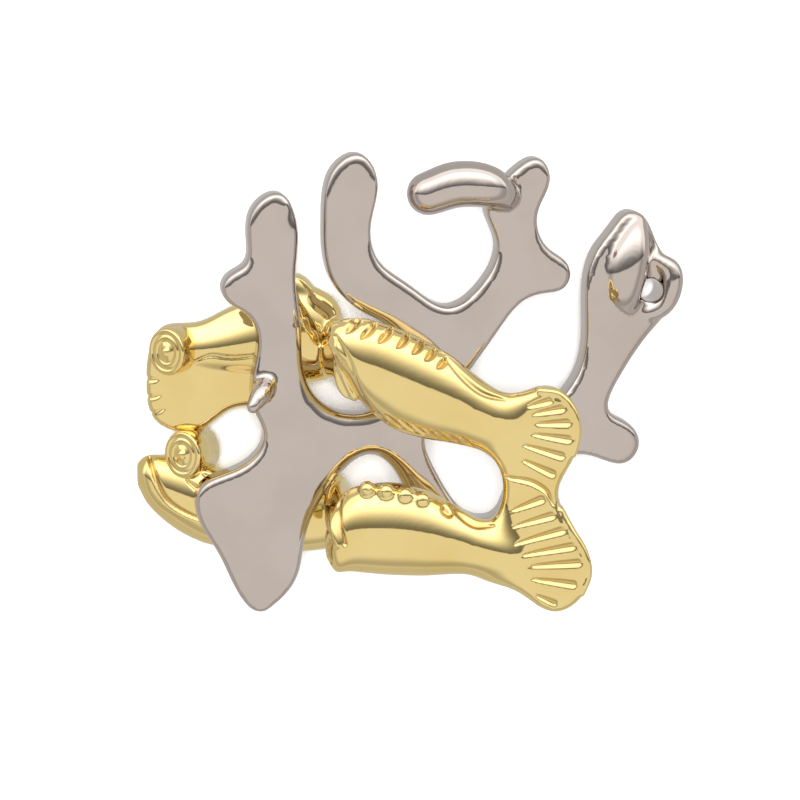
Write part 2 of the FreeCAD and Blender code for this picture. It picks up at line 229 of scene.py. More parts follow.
class Workshop:
    """The modelling operations that both castings use, each on the object that it is given."""

    OUTLINE_STEPS = 5
    RIM_SEGMENTS = 3
    RIM_ANGLE = math.radians(60)
    LIMB_STEPS = 8
    LIMB_SIDES = 64
    LIMB_MERGE = 0.0005
    ROD_STEPS = 12
    BALL_SEGMENTS = 40
    BALL_RINGS = 24
    BAR_SIDES = 48
    SOFT_LEVELS = 10
    SMOOTHING = 0.5

    @staticmethod
    def alone(piece: bpy.types.Object) -> None:
        """Select one object only, and make it the active one."""
        bpy.ops.object.select_all(action="DESELECT")
        piece.select_set(True)
        bpy.context.view_layer.objects.active = piece

    @staticmethod
    def added(operator: Callable[..., object], **settings: object) -> bpy.types.Object:
        """Add one object, with nothing else selected.

        Args:
            operator: The operator that adds it.
            settings: The operator's values.

        Returns:
            The new object.
        """
        bpy.ops.object.select_all(action="DESELECT")
        operator(**settings)
        return bpy.context.object

    @staticmethod
    def edit(piece: bpy.types.Object, *steps: Callable[[], object]) -> None:
        """Run edit-mode operators on the whole of a mesh.

        Args:
            piece: The object whose mesh is edited.
            steps: Calls to run in edit mode, one after another, from a full selection.
        """
        Workshop.alone(piece)
        bpy.ops.object.mode_set(mode="EDIT")
        bpy.ops.mesh.select_all(action="SELECT")
        for step in steps:
            step()
        bpy.ops.object.mode_set(mode="OBJECT")

    @staticmethod
    def modify(piece: bpy.types.Object, kind: str, **settings: object) -> None:
        """Add a modifier to an object and apply it.

        Args:
            piece: The object to change.
            kind: The modifier's type.
            settings: The modifier's values.
        """
        Workshop.alone(piece)
        bpy.ops.object.modifier_add(type=kind)
        modifier = piece.modifiers[-1]
        for name, value in settings.items():
            setattr(modifier, name, value)
        bpy.ops.object.modifier_apply(modifier=modifier.name)

    @staticmethod
    def joined(name: str, pieces: Sequence[bpy.types.Object]) -> bpy.types.Object:
        """Join objects into the first one and name it."""
        Workshop.alone(pieces[0])
        for piece in pieces:
            piece.select_set(True)
        bpy.ops.object.join()
        pieces[0].name = name
        return pieces[0]

    @staticmethod
    def points(piece: bpy.types.Object) -> np.ndarray:
        """The mesh's vertices, one row each."""
        flat = np.empty(len(piece.data.vertices) * 3)
        piece.data.vertices.foreach_get("co", flat)
        return flat.reshape(-1, 3)

    @staticmethod
    def normals(piece: bpy.types.Object) -> np.ndarray:
        """The mesh's vertex normals, one row each."""
        flat = np.empty(len(piece.data.vertices) * 3)
        piece.data.vertex_normals.foreach_get("vector", flat)
        return flat.reshape(-1, 3)

    @staticmethod
    def place(piece: bpy.types.Object, points: np.ndarray) -> None:
        """Move the mesh's vertices to new places."""
        piece.data.vertices.foreach_set("co", points.astype(np.float32).ravel())
        piece.data.update()

    @staticmethod
    def plate(outline: Sequence[Point2], thickness: float, rim: float) -> bpy.types.Object:
        """A flat plate with a rounded rim.

        Args:
            outline: Points round the plate's edge, anticlockwise or clockwise.
            thickness: The plate's thickness.
            rim: How far the rim is rounded.

        Returns:
            The plate, half of its thickness on each side of z = 0.
        """
        corners = smooth_loop(outline, Workshop.OUTLINE_STEPS * len(outline))
        piece = Workshop.added(bpy.ops.mesh.primitive_circle_add, vertices=len(corners), radius=1)
        flat = np.column_stack([corners, np.full(len(corners), -thickness / 2)])
        Workshop.place(piece, flat)
        Workshop.edit(
            piece,
            bpy.ops.mesh.edge_face_add,
            lambda: bpy.ops.mesh.extrude_region_move(TRANSFORM_OT_translate={"value": (0, 0, thickness)}),
            lambda: bpy.ops.mesh.select_all(action="SELECT"),
            lambda: bpy.ops.mesh.normals_make_consistent(inside=False),
        )
        if rim:
            Workshop.modify(
                piece, "BEVEL", width=rim, segments=Workshop.RIM_SEGMENTS, limit_method="ANGLE",
                angle_limit=Workshop.RIM_ANGLE, use_clamp_overlap=False,
            )
        return piece

    @staticmethod
    def limb(sections: Sections, lean: float = 0.0) -> bpy.types.Object:
        """A rounded limb through oval sections across the x axis.

        Args:
            sections: Each section's x, y, z, half height and half depth.
            lean: How far the first section leans back for each millimetre of height.

        Returns:
            The limb, closed at both ends.
        """
        stations = smooth_path(sections, Workshop.LIMB_STEPS * len(sections))
        spans = len(stations) - 1
        piece = Workshop.added(
            bpy.ops.mesh.primitive_grid_add, x_subdivisions=spans, y_subdivisions=Workshop.LIMB_SIDES, size=2
        )
        domain = Workshop.points(piece)
        column = np.rint((domain[:, 0] + 1) / 2 * spans).astype(int)
        turn = (domain[:, 1] + 1) * math.pi
        x, y, z, height, depth = stations[column].T
        up = height * np.sin(turn)
        fade = 1 - column / spans
        out = np.column_stack([x - lean * up * fade**2, y + up, z + depth * np.cos(turn)])
        Workshop.place(piece, out)
        Workshop.edit(
            piece,
            lambda: bpy.ops.mesh.remove_doubles(threshold=Workshop.LIMB_MERGE),
            lambda: bpy.ops.mesh.fill_holes(sides=0),
            lambda: bpy.ops.mesh.normals_make_consistent(inside=False),
        )
        return piece

    @staticmethod
    def ball(centre: Point3, radii: Point3) -> bpy.types.Object:
        """An egg-shaped ball.

        Args:
            centre: Where its middle is.
            radii: Its half lengths along the three axes.

        Returns:
            The ball.
        """
        piece = Workshop.added(
            bpy.ops.mesh.primitive_uv_sphere_add, segments=Workshop.BALL_SEGMENTS,
            ring_count=Workshop.BALL_RINGS, radius=1,
        )
        shape = Matrix.Diagonal((*radii, 1.0))
        piece.data.transform(Matrix.Translation(centre) @ shape)
        return piece

    @staticmethod
    def rod(path: Sequence[Point3], radii: Sequence[float]) -> bpy.types.Object:
        """A round rod along a curve, thicker and thinner as it goes, with rounded ends.

        Args:
            path: Points that the rod's middle passes through.
            radii: The rod's radius at each of those points.

        Returns:
            The rod, as a chain of balls close together.
        """
        stops = [(*point, radius) for point, radius in zip(path, radii)]
        route = smooth_path(stops, Workshop.ROD_STEPS * len(path))
        beads = [Workshop.ball(tuple(stop[:3]), (stop[3],) * 3) for stop in route]
        return Workshop.joined("rod", beads)

    @staticmethod
    def turned(profile: Line2, place: Matrix) -> bpy.types.Object:
        """A solid of revolution, spun from its profile.

        Args:
            profile: Radius and height of each point, from the top of the axis to the foot of it.
            place: Where the solid stands, with its axis along z.

        Returns:
            The solid.
        """
        piece = Workshop.added(bpy.ops.mesh.primitive_circle_add, vertices=len(profile), radius=1)
        Workshop.place(piece, np.array([(radius, 0.0, height) for radius, height in profile]))
        Workshop.edit(
            piece,
            lambda: bpy.ops.mesh.spin(
                steps=Workshop.BAR_SIDES, angle=2 * math.pi, center=(0, 0, 0), axis=(0, 0, 1)
            ),
            lambda: bpy.ops.mesh.select_all(action="SELECT"),
            lambda: bpy.ops.mesh.remove_doubles(threshold=MERGE_GAP),
            lambda: bpy.ops.mesh.delete_loose(use_verts=False, use_edges=True, use_faces=False),
            lambda: bpy.ops.mesh.select_all(action="SELECT"),
            lambda: bpy.ops.mesh.normals_make_consistent(inside=False),
        )
        piece.data.transform(place)
        return piece

    @staticmethod
    def soften(piece: bpy.types.Object, weights: np.ndarray, passes: int) -> None:
        """Smooth one part of a skin.

        Args:
            piece: The object to smooth.
            weights: How much each vertex is smoothed, from 0 to 1.
            passes: How often it is smoothed.
        """
        levels = Workshop.SOFT_LEVELS
        group = piece.vertex_groups.new(name="soft")
        level = np.rint(np.clip(weights, 0, 1) * levels).astype(int)
        for step in range(1, levels + 1):
            group.add(np.flatnonzero(level == step).tolist(), step / levels, "REPLACE")
        Workshop.modify(
            piece, "SMOOTH", factor=Workshop.SMOOTHING, iterations=passes, vertex_group="soft"
        )
        piece.vertex_groups.remove(piece.vertex_groups["soft"])

    @staticmethod
    def cast(piece: bpy.types.Object, grain: float, passes: int) -> None:
        """Melt overlapping shapes into one skin and round its creases.

        Args:
            piece: The object, made of closed shapes that overlap.
            grain: The size of the skin's cells.
            passes: How often the skin is smoothed. It may be 0.
        """
        Workshop.modify(piece, "REMESH", mode="VOXEL", voxel_size=grain, adaptivity=0.0)
        if passes:
            Workshop.modify(piece, "SMOOTH", factor=Workshop.SMOOTHING, iterations=passes)


# -------------------- worked details


@dataclass(frozen=True)
class Groove:
    """A line worked into a casting's skin.

    Attributes:
        path: Points along the line, as x and y.
        half_width: Half of the line's width at its widest.
        depth: How deep it is cut. A raised line has a depth below zero.
        ends: How it ends.
        side: Which faces it is cut into.
    """

    path: Line2
    half_width: float
    depth: float
    ends: Ends = Ends.ROUND
    side: Side = Side.FRONT

    def width(self, along: np.ndarray) -> np.ndarray:
        """The line's half width at places along it.

        Args:
            along: The places, from 0 at its start to 1 at its end.

        Returns:
            A half width for each place.
        """
        place = np.clip(along, LINE_TIP, 1 - LINE_TIP)
        shapes = {
            Ends.ROUND: np.ones_like(place),
            Ends.LEAF: np.sqrt(np.sin(np.pi * place)),
            Ends.WEDGE: np.sqrt(place),
        }
        return self.half_width * shapes[self.ends]


class Relief:
    """Cuts grooves and raises ribs on a casting, and remembers how deep each point of it lies."""

    ROUTE_POINTS = 28
    FACING = 0.12
    FULL_RECESS = 0.35
    LAST_SMOOTHING = 0.4

    def __init__(self, piece: bpy.types.Object) -> None:
        """Start on a casting's skin as it is now."""
        self.piece = piece
        self.points = Workshop.points(piece)
        self.normals = Workshop.normals(piece)
        self.shift = np.zeros(len(self.points))
        self.recess = np.zeros(len(self.points))

    def work(self, grooves: Sequence[Groove], low: float, high: float) -> None:
        """Work lines into the skin between two heights.

        Args:
            grooves: The lines.
            low: The least z that is worked.
            high: The greatest z that is worked.
        """
        reach = (self.points[:, 2] > low) & (self.points[:, 2] < high)
        for groove in grooves:
            facing = reach
            if groove.side is Side.FRONT:
                facing = reach & (self.normals[:, 2] > self.FACING)
            self._line(groove, facing)

    def _line(self, groove: Groove, facing: np.ndarray) -> None:
        """Work one line into the points that face it."""
        route = smooth_path(groove.path, self.ROUTE_POINTS)
        low = route.min(0) - groove.half_width
        high = route.max(0) + groove.half_width
        flat = self.points[:, :2]
        near = np.flatnonzero(facing & (flat > low).all(1) & (flat < high).all(1))
        if not len(near):
            return
        gap, along = gap_to(route, flat[near])
        across = np.clip(1 - (gap / groove.width(along)) ** 2, 0, 1)
        self.shift[near] -= groove.depth * across**2
        # The recess weight is the mask for the painted shade in the cut lines.
        if groove.depth > 0:
            recess = across * min(1.0, groove.depth / self.FULL_RECESS)
            self.recess[near] = np.maximum(self.recess[near], recess)

    def finish(self) -> None:
        """Move the skin, keep the depth of each point as an attribute for the painted shade and roughness of
        the cut lines, and thin the flat parts.
        """
        Workshop.place(self.piece, self.points + self.shift[:, None] * self.normals)
        depth = self.piece.data.attributes.new("recess", "FLOAT", "POINT")
        depth.data.foreach_set("value", self.recess.astype(np.float32))
        Workshop.modify(self.piece, "SMOOTH", factor=self.LAST_SMOOTHING, iterations=1)
        Workshop.modify(self.piece, "TRIANGULATE")
        share = MOST_TRIANGLES / len(self.piece.data.polygons)
        Workshop.modify(self.piece, "DECIMATE", ratio=min(1.0, share))


# -------------------- finishes


class Term:
    """A socket or number that can stand in a sum."""

    def __init__(self, board: "Board", value: object) -> None:
        """Wrap a socket or a number for use on one board."""
        self.board = board
        self.value = value

    def _with(self, operation: str, *others: object) -> "Term":
        """A Math node on this term and others.

        Args:
            operation: The Math node's operation.
            others: The node's other inputs.

        Returns:
            The node's result.
        """
        values = [self.value, *(other.value if isinstance(other, Term) else other for other in others)]
        node = self.board.node("ShaderNodeMath", dict(enumerate(values)), operation=operation)
        return Term(self.board, node.outputs[0])

    def __add__(self, other: object) -> "Term":
        """Add."""
        return self._with("ADD", other)

    def __mul__(self, other: object) -> "Term":
        """Multiply."""
        return self._with("MULTIPLY", other)

    __radd__ = __add__
    __rmul__ = __mul__

    def __sub__(self, other: object) -> "Term":
        """Subtract."""
        return self._with("SUBTRACT", other)

    def __rsub__(self, other: object) -> "Term":
        """Subtract from the other value."""
        return Term(self.board, other)._with("SUBTRACT", self)

    def ramp(self, start: float, end: float) -> "Term":
        """Rise from 0 at start to 1 at end, and stay there.

        Args:
            start: The value that gives 0.
            end: The value that gives 1.

        Returns:
            The clamped result.
        """
        spans = {0: self.value, 1: start, 2: end, 3: 0.0, 4: 1.0}
        node = self.board.node("ShaderNodeMapRange", spans, interpolation_type="SMOOTHSTEP")
        return Term(self.board, node.outputs[0])

    def arctan2(self, other: "Term") -> "Term":
        """The angle of this over the other, in radians."""
        return self._with("ARCTAN2", other)

    def highest(self, other: object) -> "Term":
        """The greater of the two."""
        return self._with("MAXIMUM", other)


class Board:
    """The nodes of one material or world."""

    def __init__(self, tree: bpy.types.NodeTree) -> None:
        """Start from an empty node tree."""
        self.tree = tree
        self.tree.nodes.clear()

    def node(self, kind: str, values: Sockets | None = None, **settings: object) -> bpy.types.Node:
        """Add a node.

        Args:
            kind: The node's type.
            values: A value, term or link for each of its sockets, by name or number.
            settings: Its own settings, which are set first.

        Returns:
            The node.
        """
        node = self.tree.nodes.new(kind)
        for name, value in settings.items():
            setattr(node, name, value)
        for socket, value in (values or {}).items():
            value = value.value if isinstance(value, Term) else value
            if isinstance(value, bpy.types.NodeSocket):
                self.tree.links.new(value, node.inputs[socket])
            else:
                node.inputs[socket].default_value = value
        return node

    def mixed(
        self, share: Term, low: Colour | bpy.types.NodeSocket, high: Colour | bpy.types.NodeSocket
    ) -> bpy.types.NodeSocket:
        """A colour between two.

        Args:
            share: 0 for the first colour and 1 for the second.
            low: The first colour.
            high: The second colour.

        Returns:
            The colour's socket.
        """
        node = self.node("ShaderNodeMix", {0: share, 6: low, 7: high}, data_type="RGBA")
        return node.outputs[2]

    def noise(self, where: bpy.types.NodeSocket, scale: float, detail: float) -> Term:
        """A noise that goes with the casting.

        Args:
            where: The coordinates to read.
            scale: How many blotches there are in a metre.
            detail: How many finer layers it has.

        Returns:
            The noise, from about 0.3 to 0.7.
        """
        node = self.node("ShaderNodeTexNoise", {"Vector": where, "Scale": scale, "Detail": detail})
        return Term(self, node.outputs[0])

    def surface(self, values: Sockets) -> None:
        """Give a material its surface, from values for the sockets of a Principled shader."""
        shader = self.node("ShaderNodeBsdfPrincipled", values)
        self.node("ShaderNodeOutputMaterial", {"Surface": shader.outputs[0]})


@dataclass(frozen=True)
class PlatedMetal:
    """A polished plated casting, with painted shade in its cut lines.

    Attributes:
        name: The material's name.
        metal: The plating's colour.
        warm: The colour that it drifts to in slow patches.
        pocket: The painted shade colour down in cut lines.
        polish: The roughness of the open faces.
        patches: How many slow patches of colour there are in a metre.
        hazes: How many hazy spots of roughness there are in a metre.
        scuffs: How many fine scuffs there are in a metre.
        waves: How many slow waves of the surface there are in a metre.
        groove_shade_share: How much of the painted shade colour a deep line takes.
        haze: How much a hazy spot adds to the roughness.
        patch_haze: How much a patch adds to it.
        pocket_haze: How much a deep line adds to it.
        wave_height: How high the waves are, as a share of the bump.
        scuff_height: How high the scuffs are, as a share of the bump.
        bump_strength: How strongly the bump bends the light.
        bump_depth: The bump's full depth in metres.
        patch_span: The noise that starts and fills a patch.
        haze_span: The noise that starts and fills a hazy spot.
        groove_shade_span: The depth at which the painted shade colour starts and is full.
        dull_span: The depth at which the added roughness starts and is full.
    """

    name: str
    metal: Colour
    warm: Colour
    # The pocket colour is painted shade for the cut lines.
    pocket: Colour
    polish: float
    patches: float = 140.0
    hazes: float = 900.0
    scuffs: float = 5200.0
    waves: float = 420.0
    groove_shade_share: float = 0.5
    haze: float = 0.035
    patch_haze: float = 0.012
    pocket_haze: float = 0.14
    wave_height: float = 0.35
    scuff_height: float = 0.03
    bump_strength: float = 0.10
    bump_depth: float = 0.00012
    patch_span: Point2 = (0.35, 0.7)
    haze_span: Point2 = (0.42, 0.75)
    groove_shade_span: Point2 = (0.15, 1.0)
    dull_span: Point2 = (0.2, 1.0)

    def material(self) -> bpy.types.Material:
        """The finish as a material.

        Returns:
            The material, which reads Object coordinates and the depth of the cut lines, which it darkens with
            painted shade.
        """
        material = bpy.data.materials.new(self.name)
        material.use_nodes = True
        board = Board(material.node_tree)
        where = board.node("ShaderNodeTexCoord").outputs["Object"]
        recess = board.node("ShaderNodeAttribute", attribute_name="recess")
        depth = Term(board, recess.outputs["Fac"])
        drift = board.noise(where, self.patches, 3.0).ramp(*self.patch_span)
        haze = board.noise(where, self.hazes, 4.0).ramp(*self.haze_span)
        scuff = board.noise(where, self.scuffs, 2.0)
        plated = board.mixed(drift, self.metal, self.warm)
        # Painted shade: each cut line is mixed towards the pocket colour by its depth.
        colour = board.mixed(depth.ramp(*self.groove_shade_span) * self.groove_shade_share, plated, self.pocket)
        spots = self.haze * haze + self.patch_haze * drift
        roughness = self.polish + spots + self.pocket_haze * depth.ramp(*self.dull_span)
        height = self.wave_height * board.noise(where, self.waves, 1.0) + self.scuff_height * scuff
        bump = board.node(
            "ShaderNodeBump", {"Strength": self.bump_strength, "Distance": self.bump_depth, "Height": height}
        )
        board.surface(
            {"Base Color": colour, "Roughness": roughness, "Metallic": 1.0, "Normal": bump.outputs[0]}
        )
        return material


GOLD = PlatedMetal(
    name="polished_gold_plate",
    metal=(0.883, 0.70, 0.31, 1),
    # The pocket colour is painted shade in the gold's cut lines.
    warm=(0.856, 0.656, 0.264, 1),
    pocket=(0.56, 0.33, 0.08, 1),
    polish=0.045,
)
SILVER = PlatedMetal(
    name="polished_silver_plate",
    metal=(0.60, 0.53, 0.485, 1),
    # The pocket colour is painted shade in the silver's cut lines.
    warm=(0.57, 0.50, 0.45, 1),
    pocket=(0.24, 0.20, 0.16, 1),
    polish=0.05,
)


# -------------------- castings


@dataclass
class Coral:
    """The silver casting: a bent branching plate with a hooked arm, a thorn and a pierced claw."""

    thickness: float = 3.8
    bend_radius: float = 90.0
    rim: float = 0.55
    plate_grain: float = 0.3
    drill_grain: float = 0.25
    grain: float = 0.19
    smoothing: int = 9
    soft_reach: float = 2.4
    soft_fade: float = 1.2
    soft_passes: int = 110
    hole: Point2 = (28.9, 11.2)
    hole_radius: float = 1.3
    claw_middle: float = 27.0
    worked: Point2 = (-9.0, 9.0)

    foot_right: Line2 = ((-16.0, -23.5), (-13.4, -22.2), (-11.3, -19.0), (-10.7, -15.5), (-9.6, -12.2))
    arch: Line2 = ((-6.4, -7.6), (-3.3, -5.8), (-1.0, -7.4))
    leg_below: Line2 = ((0.6, -10.5), (4.0, -15.0), (8.2, -17.0), (12.2, -16.2), (15.2, -13.4), (16.8, -9.6))
    stub: Line2 = ((19.8, -7.0), (23.6, -7.9), (26.3, -8.4), (27.9, -6.6), (26.6, -3.9), (24.1, -2.3))
    branch_right: Line2 = ((25.5, 1.8), (29.2, 6.5), (32.0, 9.6), (32.7, 12.8), (30.9, 14.8), (29.4, 17.2))
    peak: Line2 = ((27.8, 19.8), (26.2, 20.2), (24.2, 18.4), (22.2, 16.0))
    branch_left: Line2 = ((21.1, 12.4), (21.1, 7.0), (20.2, 2.4), (16.6, -2.0), (14.0, -5.8), (12.2, -10.0))
    bay_bottom: Line2 = ((10.4, -13.3), (7.8, -13.0), (5.4, -10.6))
    bay_left: Line2 = ((3.6, -7.4), (2.6, -4.2), (4.6, -0.6), (8.4, 4.2), (11.2, 8.0), (14.2, 11.0))
    knob: Line2 = (
        (16.6, 11.5), (18.5, 11.9), (19.3, 13.4), (18.7, 15.0), (17.0, 16.2), (15.7, 17.8), (15.4, 20.6),
    )
    horn: Line2 = ((16.8, 24.6), (15.4, 26.6), (13.2, 25.8), (11.0, 23.8), (9.4, 21.6))
    hook_bay: Line2 = ((10.6, 17.6), (9.0, 13.0), (5.2, 10.5), (0.8, 13.0), (-2.6, 15.8), (-3.4, 19.4))
    prong: Line2 = ((-2.7, 25.0), (-4.7, 27.5), (-6.9, 26.6), (-8.6, 20.5), (-7.8, 13.8), (-4.6, 10.2))
    pocket: Line2 = ((-1.2, 8.0), (0.2, 4.4), (-1.4, 0.5), (-5.3, -1.1), (-9.2, 0.5), (-10.8, 4.4))
    trunk_right: Line2 = ((-10.9, 8.2), (-11.5, 14.0), (-11.4, 20.4))
    trunk_top: Line2 = ((-13.4, 23.3), (-16.0, 21.8))
    trunk_left: Line2 = (
        (-16.7, 17.6), (-17.0, 15.4), (-18.6, 14.4), (-19.6, 12.6), (-18.7, 11.0), (-16.9, 9.9),
        (-15.9, 8.3), (-16.2, 3.6), (-16.2, -0.6),
    )
    foot_left: Line2 = (
        (-15.1, -3.4), (-17.4, -6.9), (-22.3, -9.7), (-22.6, -11.8), (-20.2, -16.8), (-17.8, -21.8),
    )

    arm_path: Line3 = ((11.4, 22.6, 1.6), (9.4, 23.7, 2.3), (6.0, 24.0, 2.0), (2.9, 23.0, 1.5))
    arm_radii: Numbers = (1.6, 2.3, 2.55, 2.4)
    thorn: Line3 = ((-14.8, 2.2, 0.3), (-15.6, 1.3, 1.5), (-16.6, 0.1, 2.5))
    thorn_radii: Numbers = (1.1, 1.15, 0.75)
    bud: Line3 = (
        (27.4, 19.1, 1.4), (26.7, 17.0, 1.7), (25.9, 14.4, 1.7), (25.5, 11.8, 1.5), (25.8, 9.7, 1.1),
    )
    bud_radii: Numbers = (0.8, 1.8, 2.6, 2.5, 1.6)
    lobe: Line3 = (
        (29.6, 14.6, 0.8), (31.2, 13.3, 1.0), (31.2, 11.2, 1.0), (30.3, 9.4, 0.9), (28.5, 8.6, 0.8),
        (26.9, 8.8, 0.6),
    )
    lobe_radii: Numbers = (0.9, 1.25, 1.35, 1.25, 1.1, 0.9)
    soft_rims: tuple[Line2, ...] = (
        (
            (-11.4, 20.0), (-11.4, 14.0), (-10.9, 8.2), (-10.8, 4.4), (-9.2, 0.5), (-5.3, -1.1),
            (-1.4, 0.5), (0.2, 4.4),
        ),
        (
            (-13.0, -22.0), (-10.9, -17.0), (-9.6, -12.2), (-6.4, -7.6), (-3.3, -5.8), (-1.0, -7.4),
            (0.6, -10.5),
        ),
    )

    def outline(self) -> list[Point2]:
        """The plate's outline, limb by limb."""
        return [
            *self.foot_right, *self.arch, *self.leg_below, *self.stub, *self.branch_right, *self.peak,
            *self.branch_left, *self.bay_bottom, *self.bay_left, *self.knob, *self.horn, *self.hook_bay,
            *self.prong, *self.pocket, *self.trunk_right, *self.trunk_top, *self.trunk_left,
            *self.foot_left,
        ]

    def bent(self, x: float | np.ndarray) -> float | np.ndarray:
        """How far the plate's middle has bent back at x."""
        return np.sqrt(self.bend_radius**2 - x**2) - self.bend_radius

    def bend(self, piece: bpy.types.Object) -> None:
        """Bend a flat plate round the y axis, convex to the front."""
        points = Workshop.points(piece)
        slope = np.sqrt(1 - (points[:, 0] / self.bend_radius) ** 2)
        points[:, 2] = points[:, 2] / slope + self.bent(points[:, 0])
        Workshop.place(piece, points)

    def claw(self) -> list[bpy.types.Object]:
        """The bud at the top of the right branch, and the hooked lobe beside it."""
        back = self.bent(self.claw_middle)
        bud = [(x, y, back + z) for x, y, z in self.bud]
        lobe = [(x, y, back + z) for x, y, z in self.lobe]
        return [Workshop.rod(bud, self.bud_radii), Workshop.rod(lobe, self.lobe_radii)]

    def build(self) -> bpy.types.Object:
        """Model the casting.

        Returns:
            The casting, laid on the table.
        """
        plate = Workshop.plate(self.outline(), self.thickness, self.rim)
        Workshop.cast(plate, self.plate_grain, 1)
        self.bend(plate)
        arm = Workshop.rod(self.arm_path, self.arm_radii)
        thorn = Workshop.rod(self.thorn, self.thorn_radii)
        casting = Workshop.joined("coral_casting", [plate, arm, thorn, *self.claw()])
        self.pierce(casting)
        Workshop.cast(casting, self.grain, self.smoothing)
        flat = Workshop.points(casting)[:, :2]
        for rim in self.soft_rims:
            gap, _ = gap_to(smooth_path(rim, RIM_POINTS), flat)
            Workshop.soften(casting, (self.soft_reach - gap) / self.soft_fade, self.soft_passes)
        relief = Relief(casting)
        relief.work(self.details(), *self.worked)
        relief.finish()
        return dressed(casting, SILVER, "coral")

    def pierce(self, casting: bpy.types.Object) -> None:
        """Cut the round hole through the claw."""
        drill = Workshop.added(
            bpy.ops.mesh.primitive_cylinder_add, vertices=Workshop.BAR_SIDES, radius=self.hole_radius,
            depth=DRILL_LENGTH,
        )
        drill.data.transform(Matrix.Translation((*self.hole, DRILL_MIDDLE)))
        Workshop.cast(casting, self.drill_grain, 0)
        Workshop.modify(casting, "BOOLEAN", operation="DIFFERENCE", object=drill, solver="FAST")
        bpy.data.objects.remove(drill)

    def details(self) -> list[Groove]:
        """The crease beside the bud and the one at the arm's root."""
        return [
            Groove(((28.3, 18.0), (29.3, 16.2), (28.4, 14.6), (27.8, 13.2)), 0.5, 0.25, Ends.LEAF),
            Groove(((12.4, 24.6), (12.7, 22.9), (11.9, 21.2)), 0.5, 0.3, Ends.LEAF),
        ]


